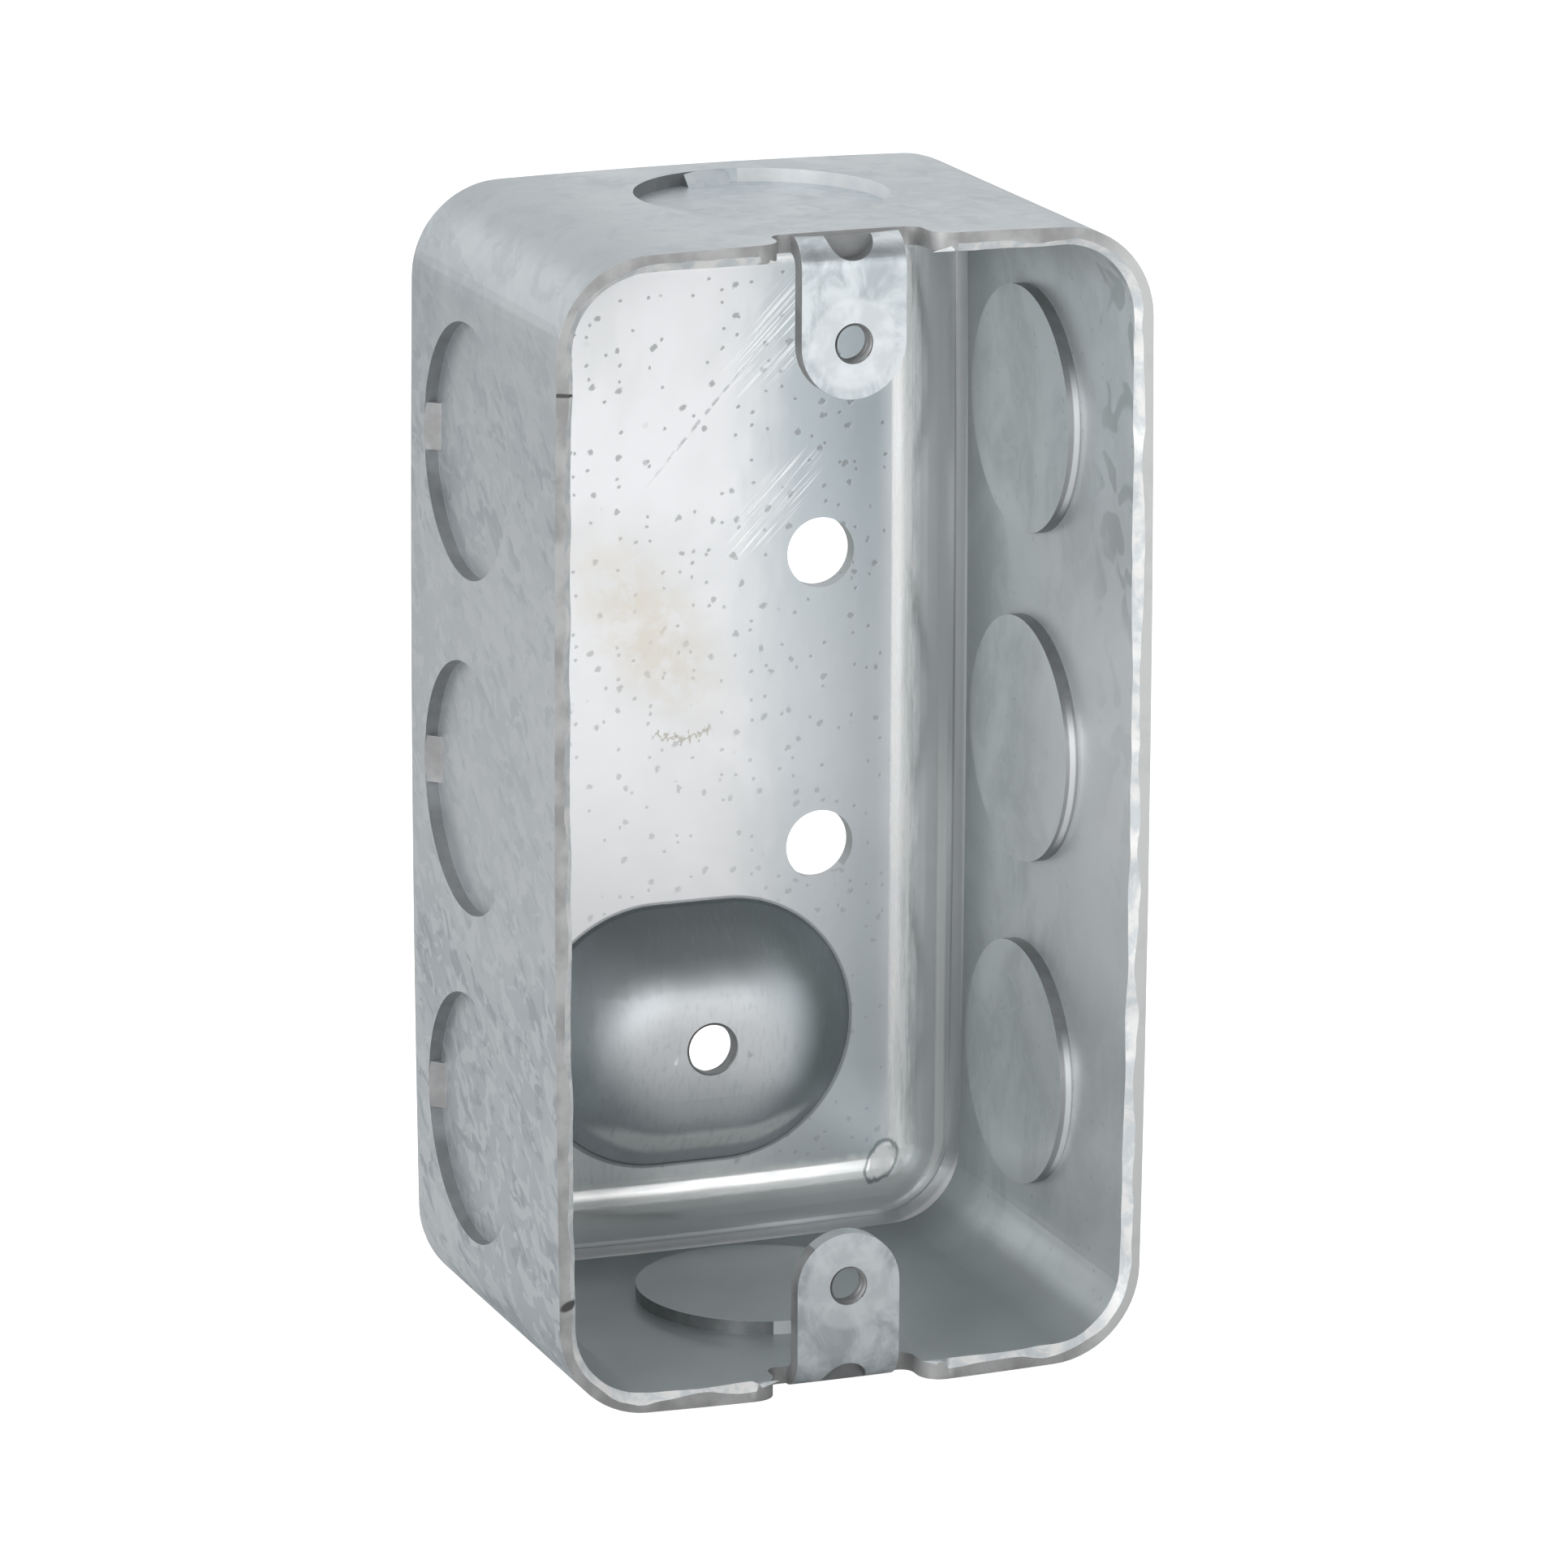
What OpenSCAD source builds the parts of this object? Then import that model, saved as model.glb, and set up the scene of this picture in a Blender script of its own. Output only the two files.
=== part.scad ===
// Drawn steel handy box for one wiring device, standing on its lower end wall.
// Millimetres. X is the width, Z the length and the open side faces -Y.
// The origin is on the floor, under the middle of the box.
// The sheet is one piece: shell, screw ears, ground dome and knock-out slugs.

/* [Box] */
// Length over the two end walls
box_length = 101.8; // [85:0.1:160]
// Width over the two long walls
box_width = 54.6; // [45:0.1:110]
// Depth from the back to the rim
box_depth = 41; // [34:0.1:70]
// Thickness of the steel
sheet = 1.6; // [1:0.05:2.5]
// Outside radius of the four upright corners
corner_r = 8; // [5:0.1:14]
// Outside radius of the drawn edge round the back
back_edge_r = 3.4; // [2.5:0.1:6]

/* [Back panel] */
// Height the middle of the back is pressed into the box
panel_rise = 2.6; // [0.5:0.05:4]
// Distance from the outside of the walls to the foot of the panel's shoulder
border = 2.1; // [2:0.1:6]
// Width of the shoulder that rolls down from the panel to its foot
shoulder = 7.6; // [4:0.1:9]
// Width of the flat land round the hollow behind the panel
back_land = 0.6; // [0.2:0.05:1.5]
// Diameter of the two plain mounting holes
mount_hole_d = 6.4; // [3:0.1:8]
// Distance between the two mounting holes
mount_hole_pitch = 27.1; // [20:0.1:40]
// Distance of the mounting holes from the middle line
mount_hole_side = 10.9; // [5:0.1:20]
// Height of the middle of the two holes above the middle of the box
mount_hole_lift = 1.6; // [-10:0.1:10]

/* [Ground dome] */
// Width of the dome at its foot
dome_width = 24.4; // [16:0.1:30]
// Straight length between the two round ends of the dome
dome_straight = 6.6; // [0:0.1:12]
// Height of the dome above the panel
dome_height = 6; // [3:0.1:9]
// Distance of the dome's middle from the lower end of the box
dome_from_end = 22.6; // [20:0.1:45]
// Distance of the dome's middle from the middle line
dome_side = -1.6; // [-5:0.1:5]
// Diameter of the tapped ground screw hole
ground_hole_d = 4.9; // [3:0.1:6]

/* [Knock-outs] */
// Diameter of the knock-outs
knockout_d = 22.6; // [15:0.1:28]
// Plain wall between the end face of the box and the first knock-out
knockout_end_margin = 9.4; // [6:0.1:20]
// Least plain wall left between two knock-outs
knockout_spacing = 5; // [2:0.1:15]
// Depth the slugs are pushed into the box
slug_press = 1.2; // [0.4:0.05:1.4]
// Gap between the slug and the hole it was cut from
slug_gap = 0.15; // [0.1:0.05:0.4]
// Plain wall between the back rounding and the knock-outs
knockout_margin = 3; // [1:0.1:6]
// Width of the tie that holds each slug
tie_width = 4.2; // [2:0.1:6]
// Angle the ties on the end walls are turned
end_tie_turn = 6; // [-30:1:30]

/* [Screw ears] */
// Width of the ears
ear_width = 9.6; // [8:0.1:14]
// Distance from the end face of the box to the ear's screw hole
ear_hole_inset = 9.23; // [8:0.01:14]
// Diameter of the tapped cover screw holes
ear_hole_d = 3.5; // [2.5:0.05:5]
// Distance of the ear's face behind the rim
ear_setback = 1.2; // [0.5:0.1:2.5]
// Outside radius of the ear's bend
ear_bend_r = 2.8; // [2.6:0.1:4]
// Clear width beside the ear at the foot of the notch
notch_side = 2.1; // [1:0.1:4]
// Radius of the round that leads from the rim into the notch
notch_flare = 2.2; // [0.5:0.1:3.5]
// Radius of the corners at the foot of the notch
notch_corner_r = 1.2; // [0.3:0.1:1.8]
// Diameter of the dimple pressed into the ear's bend
dimple_d = 4.3; // [2:0.1:5]
// Depth of the dimple below the ear's face
dimple_depth = 1.8; // [0.5:0.1:2]

/* [Hidden] */
$fa = 3;
$fs = 0.4;
lap = 0.5;
inner_edge = (back_edge_r - sheet) * (2 - sqrt(2));
panel_in = sheet + panel_rise;
foot_w = box_width - 2 * border;
foot_l = box_length - 2 * border;
hollow_run = border + shoulder - back_edge_r - back_land;
dome_foot_r = dome_width / 2;
dome_arc_r = (pow(dome_foot_r, 2) + pow(dome_height, 2)) / (2 * dome_height);
dome_at = [dome_side, dome_from_end - box_length / 2];
knockout_r = knockout_d / 2;
knockout_up = back_edge_r + knockout_margin + knockout_r;
knockout_run = box_length - 2 * knockout_end_margin;
knockouts_long = max(1, floor((knockout_run + knockout_spacing) / (knockout_d + knockout_spacing)));
knockout_pitch = (knockout_run - knockout_d) / max(1, knockouts_long - 1);
notch_depth = ear_setback + ear_bend_r;
notch_foot = ear_width + 2 * notch_side;
bend_at = [box_length / 2 - ear_bend_r, box_depth - notch_depth];
ear_hole_at = box_length / 2 - ear_hole_inset;
gusset_leg = 2.6;

// Sweeps a half outline round a rounded rectangle. In the outline, X runs
// outwards from the corner centre and Y is the height.
module sweep_round(w, l, r) {
    for (k = [0:3]) {
        out = (k % 2 == 0 ? w : l) / 2 - r;
        along = (k % 2 == 0 ? l : w) / 2 - r;
        rotate([0, 0, 90 * k]) translate([out, along, 0]) {
            rotate_extrude(angle = 90) children();
            rotate([90, 0, 0]) linear_extrude(2 * along) children();
        }
    }
}

// The outside of the box: upright sides, round corners and a rounded lower edge.
module outside_form() {
    linear_extrude(box_depth)
        square([box_width, box_length] - 2 * corner_r * [1, 1], center = true);
    sweep_round(box_width, box_length, corner_r) {
        square([corner_r - back_edge_r, box_depth]);
        translate([0, back_edge_r]) square([corner_r, box_depth - back_edge_r]);
        translate([corner_r - back_edge_r, back_edge_r]) intersection() {
            circle(back_edge_r);
            translate([0, -back_edge_r]) square(back_edge_r);
        }
    }
}

// The room inside. Its lower edge is the crease at the foot of the walls.
module inside_form() {
    wide = box_width - 2 * sheet;
    long = box_length - 2 * sheet;
    r = corner_r - sheet;
    linear_extrude(box_depth) square([wide - 2 * r, long - 2 * r], center = true);
    sweep_round(wide, long, r) polygon([
        [0, 0],
        [r - inner_edge, 0],
        [r, inner_edge],
        [r, box_depth],
        [0, box_depth]
    ]);
}

// The pressed panel: flat middle and a shoulder that rolls down over this run. With the
// shorter run of the back it is the hollow behind the panel.
module panel_form(run) {
    arc = (pow(run, 2) + pow(panel_rise, 2)) / (2 * panel_rise);
    flat = [foot_w, foot_l] - 2 * shoulder * [1, 1];
    translate([0, 0, -lap]) linear_extrude(panel_rise + lap) square(flat, center = true);
    sweep_round(flat[0] + 2 * run, flat[1] + 2 * run, run) intersection() {
        translate([0, panel_rise - arc]) circle(arc);
        translate([0, -lap]) square([run, panel_rise + lap]);
    }
}

// Turns a half outline into an obround form lying along X.
module obround_form(straight) {
    for (s = [-1, 1]) translate([s * straight / 2, 0, 0]) rotate([0, 0, -90 * s])
        rotate_extrude(angle = 180) children();
    translate([-straight / 2, 0, 0]) rotate([90, 0, 90]) linear_extrude(straight) {
        children();
        mirror([1, 0]) children();
    }
}

// The dome over the ground screw, or its hollow when made thinner by the sheet.
module dome_form(thinner) {
    arc = dome_arc_r - thinner;
    down = dome_arc_r - dome_height;
    foot = sqrt(pow(arc, 2) - pow(down - thinner, 2));
    obround_form(dome_straight) intersection() {
        translate([0, -down]) circle(arc);
        translate([0, -thinner - lap]) square([foot, dome_height + lap + thinner]);
    }
}

// Puts its children at each knock-out: Z points out of the wall, X to the back.
module at_knockouts() {
    for (a = [0, 180], i = [0:knockouts_long - 1])
        rotate([0, 0, a])
            translate([box_width / 2, (i - (knockouts_long - 1) / 2) * knockout_pitch, knockout_up])
                rotate([0, 90, 0]) children();
    for (a = [90, 270])
        rotate([0, 0, a]) translate([box_length / 2, 0, knockout_up])
            rotate([0, 90, 0]) rotate([0, 0, end_tie_turn]) children();
}

module slug() {
    translate([0, 0, -sheet - slug_press])
        cylinder(h = slug_press + slug_gap, r = knockout_r - slug_gap);
}

module slug_recess() {
    translate([0, 0, -slug_press]) cylinder(h = slug_press + lap, r = knockout_r);
}

// The strip of wall that was not sheared: it slopes down to the slug.
module tie() {
    rise = sheet * tan(22.5);
    translate([0, tie_width / 2, 0]) rotate([90, 0, 0]) linear_extrude(tie_width)
        polygon([
            [knockout_r + rise, 0],
            [knockout_r, 0],
            [knockout_r - slug_press, -slug_press],
            [knockout_r - slug_press - rise, -slug_press - 0.1],
            [knockout_r - slug_press - rise, -slug_press - sheet],
            [knockout_r - slug_press + rise, -slug_press - sheet],
            [knockout_r + rise, -sheet]
        ]);
}

// Relief notch in an end wall: round corners at its foot, rounded over into the rim.
module ear_notch() {
    corner_at = notch_foot / 2 - notch_corner_r;
    flare_at = [notch_foot / 2 + notch_flare, notch_depth - notch_flare];
    translate([0, box_length / 2 + lap, box_depth - notch_depth]) rotate([90, 0, 0])
        linear_extrude(sheet + 2 * lap) {
            translate([-notch_foot / 2, notch_corner_r])
                square([notch_foot, notch_depth + lap - notch_corner_r]);
            translate([-corner_at, 0]) square([2 * corner_at, notch_depth]);
            for (s = [-1, 1]) {
                translate([s * corner_at, notch_corner_r]) circle(notch_corner_r);
                mirror([s < 0 ? 1 : 0, 0]) difference() {
                    translate([notch_foot / 2, flare_at[1]]) square([notch_flare, notch_flare + lap]);
                    translate(flare_at) circle(notch_flare);
                }
            }
        }
}

// One ear: strip, quarter bend, flat tab with a round end, web behind the dimple.
module ear() {
    face = box_depth - ear_setback;
    corner = [box_length / 2 - sheet, face - sheet];
    difference() {
        union() {
            translate([-ear_width / 2, 0, 0]) rotate([90, 0, 90]) linear_extrude(ear_width) {
                translate([corner[0], bend_at[1] - lap]) square([sheet, lap]);
                translate(bend_at) intersection() {
                    difference() {
                        circle(ear_bend_r);
                        circle(ear_bend_r - sheet);
                    }
                    square(ear_bend_r);
                }
            }
            translate([0, 0, face - sheet]) linear_extrude(sheet) {
                translate([0, ear_hole_at]) circle(d = ear_width);
                translate([-ear_width / 2, ear_hole_at])
                    square([ear_width, bend_at[0] - ear_hole_at]);
            }
            translate([-dimple_d / 2, 0, 0]) rotate([90, 0, 90]) linear_extrude(dimple_d)
                polygon([
                    corner - [0, gusset_leg],
                    corner - [gusset_leg, 0],
                    corner + [-gusset_leg, sheet / 4],
                    corner + [sheet / 4, sheet / 4],
                    corner + [sheet / 4, -gusset_leg]
                ]);
        }
        translate([0, ear_hole_at, face - sheet - lap]) cylinder(h = sheet + 2 * lap, d = ear_hole_d);
        translate([0, box_length / 2, face - dimple_depth]) cylinder(h = dimple_depth + lap, d = dimple_d);
    }
}

// The drawn shell with its pressed panel and dome, lying on its back.
module shell() {
    difference() {
        union() {
            difference() {
                outside_form();
                translate([0, 0, sheet]) inside_form();
            }
            translate([0, 0, sheet]) panel_form(shoulder);
            translate([dome_at[0], dome_at[1], panel_in]) dome_form(0);
        }
        panel_form(hollow_run);
        translate([dome_at[0], dome_at[1], panel_in]) {
            dome_form(sheet);
            cylinder(h = dome_height + lap, d = ground_hole_d);
        }
        for (s = [-1, 1])
            translate([mount_hole_side, mount_hole_lift + s * mount_hole_pitch / 2, -lap])
                cylinder(h = panel_in + 2 * lap, d = mount_hole_d);
    }
}

// The whole box lying on its back with the open side up.
module box_on_its_back() {
    difference() {
        shell();
        at_knockouts() slug_recess();
        for (a = [0, 180]) rotate([0, 0, a]) ear_notch();
    }
    at_knockouts() {
        slug();
        tie();
    }
    for (a = [0, 180]) rotate([0, 0, a]) ear();
}

module drawn_box() {
    color("silver")
        translate([0, box_depth / 2, box_length / 2]) rotate([90, 0, 0]) box_on_its_back();
}

drawn_box();
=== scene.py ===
"""Looks of the drawn steel wiring box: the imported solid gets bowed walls, a torn rim,
threads in its tapped holes and a galvanised finish, in the photograph's view."""

import math

import bmesh
import bpy
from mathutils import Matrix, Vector, noise


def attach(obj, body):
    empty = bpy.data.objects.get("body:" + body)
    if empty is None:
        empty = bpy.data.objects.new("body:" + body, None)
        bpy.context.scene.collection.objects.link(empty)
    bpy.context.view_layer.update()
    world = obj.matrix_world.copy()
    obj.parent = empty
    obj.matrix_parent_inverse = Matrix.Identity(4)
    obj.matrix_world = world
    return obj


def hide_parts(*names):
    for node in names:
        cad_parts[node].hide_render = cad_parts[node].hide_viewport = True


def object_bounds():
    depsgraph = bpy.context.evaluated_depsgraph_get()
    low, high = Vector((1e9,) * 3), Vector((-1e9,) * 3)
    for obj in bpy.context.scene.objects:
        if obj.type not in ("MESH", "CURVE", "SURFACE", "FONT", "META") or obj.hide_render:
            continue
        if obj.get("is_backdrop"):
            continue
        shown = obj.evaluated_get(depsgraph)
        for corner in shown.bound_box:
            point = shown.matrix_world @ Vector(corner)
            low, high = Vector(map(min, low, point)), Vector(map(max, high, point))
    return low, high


MM = 0.001

# The photograph's view: a square picture taken from the left and a little above.
CAMERA_PLACE = (-0.24812, -0.65122, 0.23028)
CAMERA_TURN = (1.31705, -0.00360, -0.36470)
LENS_MM = 188.466
SENSOR_MM = 36

# Sizes of the solid that the looks follow.
SHEET = 1.6 * MM
CORNER_R = 8 * MM
EAR_SETBACK = 1.2 * MM
EAR_REACH = 4.1 * MM
EAR_HALF_WIDTH = 4.8 * MM
EAR_HOLE_R = 1.75 * MM
EAR_HOLE_SPACING = 83.34 * MM
DIMPLE_R = 2.15 * MM
GROUND_HOLE_R = 2.45 * MM
GROUND_HOLE_LENGTH = 1.5 * MM
THREAD_PITCH = 0.79 * MM
THREAD_CREST = 0.26 * MM
THREAD_SINK = 0.12 * MM
THREAD_SHORT = 0.3 * MM
THREAD_STEPS = 40
PANEL_Y = 16.3 * MM
ROLL_FROM_WALL = 9.7 * MM
ROLL_WIDTH = 7.6 * MM
ROLL_ARC_R = 12.41 * MM
DOME_MIDDLE = Vector((-1.6, 0, 22.6)) * MM
DOME_FOOT_R = 12.2 * MM
DOME_STRAIGHT = 6.6 * MM
DOME_HEIGHT = 6 * MM
DOME_ARC_R = (DOME_FOOT_R ** 2 + DOME_HEIGHT ** 2) / (2 * DOME_HEIGHT)
KNOCKOUT_R = 11.3 * MM
KNOCKOUT_Y = 2.8 * MM
KNOCKOUT_PITCH = 30.2 * MM
SLUG_PRESS = 1.2 * MM
TIE_HALF_WIDTH = 2.4 * MM

# How closely a point has to lie on a line of the solid, and how points are welded.
ON_LINE = 0.05 * MM
WELD = 0.003 * MM
WELD_CELLS = 0.008 * MM
CELL_SNAP = 0.02 * MM
SAME_FLAT = math.radians(0.4)
BENT_EDGE = math.radians(38)

# How the pressing and shearing left the steel.
SIDE_BOW = 0.45 * MM
END_BOW = 0.5 * MM
GRID = 3 * MM
EDGE_ROUND = 0.2 * MM
BURR_WIDTH = 0.62 * MM
BURR_WANDER = 0.42 * MM
RIM_WAVE = 0.06 * MM
RIM_STEP = 1 * MM
RIM_CUTS = 4
CALM_BY_NOTCH = 8.8 * MM
LONG_WAVE = 4.5 * MM
SHORT_WAVE = 1.9 * MM
RIM_WAVE_LENGTH = 9 * MM
SHARP_ANGLE = math.radians(20)
SLIVER = 0.002 * MM * MM
BEAD_WIDTH = 3 * MM
BEAD_RISE = 0.24 * MM
BEAD_CUTS = 6
BEAD_LATE_AT_ENDS = 1.2 * MM

# How the sheet was drawn and scratched.
STREAK_TURN = (math.radians(29), 0, 0)
SCRATCH_TURN = (0, math.radians(-45), 0)

# Marks seen from the front, in mm: middle across, middle up, half width, half height,
# and turn in degrees.
SCRATCH = (-0.9, 78.6, 8.8, 0.22, -48)
BRUSHED_BY_HOLE = (6.4, 70.8, 7.0, 2.6, -48)
BRUSHED_BY_EAR = (6.5, 86.0, 8.0, 4.0, -48)
PRESS_MARK = (17.0, 8.5, 1.1, 1.9, 25)
SMALL_PRESS_MARK = (19.3, 9.2, 1.1, 0.6, -20)
TAN_PATCH = (-5.8, 60.5, 6.0, 12.5, -35)
RIM_CRACK = (-26.5, 90.2, 1.6, 0.22, 6)
RIM_NICK = (-26.2, 10.7, 1.0, 0.5, -25)

# The olive mark is a curved line: its middle, its half width in mm, and how much it bends.
OLIVE_MIDDLE = Vector((-2.4, 0, 50)) * MM
OLIVE_HALF_WIDTH = 2.6
OLIVE_BEND = 90

# Lights, as the metal sees them. Each lamp has its place, size and power.
LAMPS = (
    ("low_left", (-0.62, -0.50, 0.16), (0.55, 0.45), 2.8),
    ("low_front", (0.04, -0.90, 0.13), (0.70, 0.50), 2.3),
    ("fill", (-0.8, -0.4, 0.6), (0.6, 0.6), 0.3),
    ("top", (0.0, 0.1, 0.9), (0.5, 0.5), 1.0),
)
LAMP_AIM = (0, 0, 0.05)
DARK_ROOM = (-0.75, -0.1)
ROOM_GLOW = 0.12
BACKDROP_GLOW = 0.67
LIT_PATCH = (0.11, -0.27, 0)
PATCH_INNER = 0.05
PATCH_OUTER = 0.26
FLOOR_HALF = 4.0
FLOOR_GREY = (0.55, 0.55, 0.55, 1)
FLOOR_GLOW = 0.06
PATCH_GLOW = 0.9
CAMERA_GLOW = 0.95

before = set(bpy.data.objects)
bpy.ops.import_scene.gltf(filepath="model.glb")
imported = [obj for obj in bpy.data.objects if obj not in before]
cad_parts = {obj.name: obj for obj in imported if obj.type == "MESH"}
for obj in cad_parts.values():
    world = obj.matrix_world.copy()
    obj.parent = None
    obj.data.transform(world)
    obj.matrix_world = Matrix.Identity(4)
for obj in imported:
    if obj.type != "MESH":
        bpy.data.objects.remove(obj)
cad_low, cad_high = (Vector(corner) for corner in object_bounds())
MIDDLE = (cad_low + cad_high) / 2
HALF = (cad_high - cad_low) / 2
RIM_Y = cad_low.y

# The steel's surfaces, in the order of the piece's materials. The dark and light edges are shaded
# and lit copies of one sheared face: darker sheared steel in painted shade, and a painted
# highlight.
OUTSIDE, BURR, CUT, BACK, WALL, EAR, DARK_SHEAR_AND_SHADE, PAINTED_HIGHLIGHT_EDGE, SLUG_EDGE = range(9)


def outline_distance(x, z):
    """Distance outside the box's rounded outline, seen from the front."""
    over_x = abs(x - MIDDLE.x) - HALF.x + CORNER_R
    over_z = abs(z - MIDDLE.z) - HALF.z + CORNER_R
    outside = math.hypot(max(over_x, 0), max(over_z, 0))
    return outside + min(max(over_x, over_z), 0) - CORNER_R


def outward(x, z):
    """Which way leads out of the box at this place, seen from the front."""
    over_x = abs(x - MIDDLE.x) - HALF.x + CORNER_R
    over_z = abs(z - MIDDLE.z) - HALF.z + CORNER_R
    if over_x > 0 and over_z > 0:
        way = Vector((over_x, 0, over_z))
    else:
        way = Vector((1, 0, 0)) if over_x > over_z else Vector((0, 0, 1))
    way.x = math.copysign(way.x, x - MIDDLE.x)
    way.z = math.copysign(way.z, z - MIDDLE.z)
    return way.normalized()


def from_knockout(place, out):
    """Steps along the wall and to the back from the middle of the nearest knock-out."""
    if abs(out.x) > abs(out.z):
        along = place.z - MIDDLE.z
        along -= KNOCKOUT_PITCH * max(-1, min(1, round(along / KNOCKOUT_PITCH)))
    else:
        along = place.x - MIDDLE.x
    return along, place.y - KNOCKOUT_Y


def round_sharp_edges(bm):
    """A small round on each edge that shearing or bending left, but the burr's."""
    sharp = [
        e for e in bm.edges
        if len(e.link_faces) == 2 and e.calc_face_angle(0) > BENT_EDGE
        and not on_burr_line(e)
    ]
    made = bmesh.ops.bevel(
        bm, geom=sharp, offset=EDGE_ROUND, offset_type="OFFSET", segments=2,
        profile=0.5, affect="EDGES", clamp_overlap=True, material=-1,
    )
    rounded = bm.faces.layers.int["rounded"]
    for face in made["faces"]:
        face[rounded] = 1


def ear_surface(place, facing):
    """The ears, their bends and the dimples pressed into the bends."""
    past_end = abs(place.z - MIDDLE.z) - HALF.z
    behind_face = place.y > RIM_Y + EAR_SETBACK + 2 * ON_LINE
    # Inside the dimples: the dark edge finish, painted shade in the pocket.
    if math.hypot(place.x, past_end) < DIMPLE_R + ON_LINE and behind_face:
        return DARK_SHEAR_AND_SHADE
    if abs(facing.x) > 0.7:
        return CUT
    return EAR if facing.y < -0.2 else WALL


def edge_surface(place, facing, out):
    """The sheared circles of the knock-outs. Their ties were never sheared."""
    along, back = from_knockout(place, out)
    if abs(math.hypot(along, back) - KNOCKOUT_R) > 0.35 * MM or abs(facing.dot(out)) > 0.93:
        return None
    if back > 0 and abs(along) < TIE_HALF_WIDTH:
        return CUT if abs(out.x) > 0.5 else None
    # Faces turned out, and the end walls' faces past the tie, take the light copy, a painted
    # highlight; the rest take the dark copy in painted shade, or the slug's edge.
    if abs(facing.dot(out)) > 0.4:
        return PAINTED_HIGHLIGHT_EDGE
    if abs(out.z) > 0.5:
        return PAINTED_HIGHLIGHT_EDGE if along > -TIE_HALF_WIDTH else DARK_SHEAR_AND_SHADE
    recess = -outline_distance(place.x, place.z) < SHEET
    return DARK_SHEAR_AND_SHADE if recess else SLUG_EDGE


def surface_of(place, facing):
    """Which of the steel's surfaces a face belongs to."""
    out = outward(place.x, place.z)
    inward = -outline_distance(place.x, place.z)
    if abs(place.x) < EAR_HALF_WIDTH + 0.02 * MM and place.y < RIM_Y + EAR_REACH:
        return ear_surface(place, facing)
    if place.y < RIM_Y + 0.3 * MM and facing.y < -0.9:
        return CUT
    if inward < SHEET and place.y < RIM_Y + EAR_REACH and abs(facing.dot(out)) < 0.5:
        return CUT
    edge = edge_surface(place, facing, out)
    if edge is not None and inward < SHEET + SLUG_PRESS + 0.3 * MM:
        return edge
    if facing.dot(out) < -0.75:
        return WALL
    return BACK if facing.y < 0.1 and inward > SHEET else OUTSIDE


def mark_surfaces(bm):
    for face in bm.faces:
        if face.material_index != BURR:
            face.material_index = surface_of(face.calc_center_median(), face.normal)


def on_burr_line(edge):
    return all(
        abs(v.co.y - RIM_Y) < 0.01 * MM
        and abs(outline_distance(v.co.x, v.co.z) + SHEET) < ON_LINE
        for v in edge.verts
    )


def turn_burr(bm):
    """The rim's inner edge as the die left it: a bright chamfer."""
    line = [e for e in bm.edges if on_burr_line(e)]
    made = bmesh.ops.bevel(
        bm, geom=line, offset=BURR_WIDTH, offset_type="OFFSET", segments=1,
        profile=0.5, affect="EDGES", clamp_overlap=False, material=-1,
    )
    for face in made["faces"]:
        face.material_index = BURR


def past_roll(x, z):
    """How far a place lies past the line where the panel ends, and how late the bead is."""
    over_x = max(0, abs(x - MIDDLE.x) - HALF.x + ROLL_FROM_WALL)
    over_z = max(0, abs(z - MIDDLE.z) - HALF.z + ROLL_FROM_WALL)
    past = math.hypot(over_x, over_z)
    return past, BEAD_LATE_AT_ENDS * (over_z / max(past, 0.01 * MM)) ** 2


def press_bead(bm):
    """A low bead runs round the panel before the roll turns down to the walls."""
    for axis in (0, 2):
        normal = Vector([axis == k for k in range(3)])
        late = BEAD_LATE_AT_ENDS if axis == 2 else 0
        for side in (-1, 1):
            for i in range(0 if late else 1, BEAD_CUTS + 1):
                place = MIDDLE.copy()
                out = HALF[axis] - ROLL_FROM_WALL + late + BEAD_WIDTH * i / BEAD_CUTS
                place[axis] += side * out
                bmesh.ops.bisect_plane(
                    bm, geom=bm.verts[:] + bm.edges[:] + bm.faces[:],
                    dist=CELL_SNAP, plane_co=place, plane_no=normal,
                )
    drop = ROLL_WIDTH ** 2 / (2 * ROLL_ARC_R)
    for v in bm.verts:
        t, late = past_roll(v.co.x, v.co.z)
        if v.co.y < PANEL_Y - 0.1 * MM or not 0 < t < ROLL_WIDTH:
            continue
        arc = t * t / (2 * ROLL_ARC_R)
        rest = ROLL_WIDTH - BEAD_WIDTH - late
        slope = math.pi * BEAD_RISE / BEAD_WIDTH * rest
        if t < BEAD_WIDTH + late:
            bead = -BEAD_RISE * math.sin(math.pi * max(0, t - late) / BEAD_WIDTH)
        else:
            share = (t - BEAD_WIDTH - late) / rest
            bead = slope * share + (drop - slope) * share * share
        v.co.y = min(v.co.y + bead - arc, cad_high.y)


def flatten_dome(bm):
    """The punch left the dome's cap flatter than its flanks."""
    for v in bm.verts:
        off = v.co - DOME_MIDDLE
        r = math.hypot(max(0, abs(off.x) - DOME_STRAIGHT / 2), off.z)
        if r > DOME_FOOT_R or not PANEL_Y - DOME_HEIGHT - 0.1 * MM < v.co.y < PANEL_Y:
            continue
        arc = math.sqrt(DOME_ARC_R ** 2 - r * r) - DOME_ARC_R + DOME_HEIGHT
        if abs(PANEL_Y - arc - v.co.y) < SHEET / 2:
            v.co.y -= DOME_HEIGHT * (1 - (r / DOME_FOOT_R) ** 3) - arc


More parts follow.
